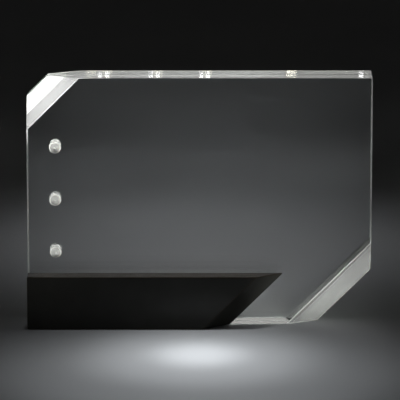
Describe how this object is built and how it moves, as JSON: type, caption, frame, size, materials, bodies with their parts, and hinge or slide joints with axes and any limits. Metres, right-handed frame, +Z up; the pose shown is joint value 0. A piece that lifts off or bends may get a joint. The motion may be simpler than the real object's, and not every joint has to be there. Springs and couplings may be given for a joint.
{
  "type": "photo frame",
  "caption": "Clear acrylic photo frame: a front and a rear plate with sloping cut corners, held together by sunk magnets, standing on their lower edges behind a black foot bar.",
  "frame": {"origin": "on the table under the middle of the frame's width and depth", "axes": "+X to the right as seen from the front, +Y from the front bar to the rear plate, +Z up"},
  "size_m": [0.184, 0.0312, 0.135],
  "materials": {
    "clear_acrylic": "clear, polished faces and edges",
    "black_acrylic": "polished black",
    "nickel": "plated",
    "clear_tape": "clear, tacky",
    "clear_glue": "clear, set"
  },
  "bodies": {
    "front_half": {"front_plate": "clear_acrylic", "foot_bar": "black_acrylic", "bar_tape": "clear_tape", "front_magnet_bottom": "nickel", "front_magnet_middle": "nickel", "front_magnet_top": "nickel", "front_glue_bottom": "clear_glue", "front_glue_middle": "clear_glue", "front_glue_top": "clear_glue"},
    "rear_half": {"rear_plate": "clear_acrylic", "rear_magnet_bottom": "nickel", "rear_magnet_middle": "nickel", "rear_magnet_top": "nickel", "rear_glue_bottom": "clear_glue", "rear_glue_middle": "clear_glue", "rear_glue_top": "clear_glue"}
  },
  "joints": [
    {"name": "rear_half_pull_off", "type": "slide", "parent": "front_half", "child": "rear_half", "axis": [0, 1, 0], "range_m": [0, 0.06]}
  ]
}
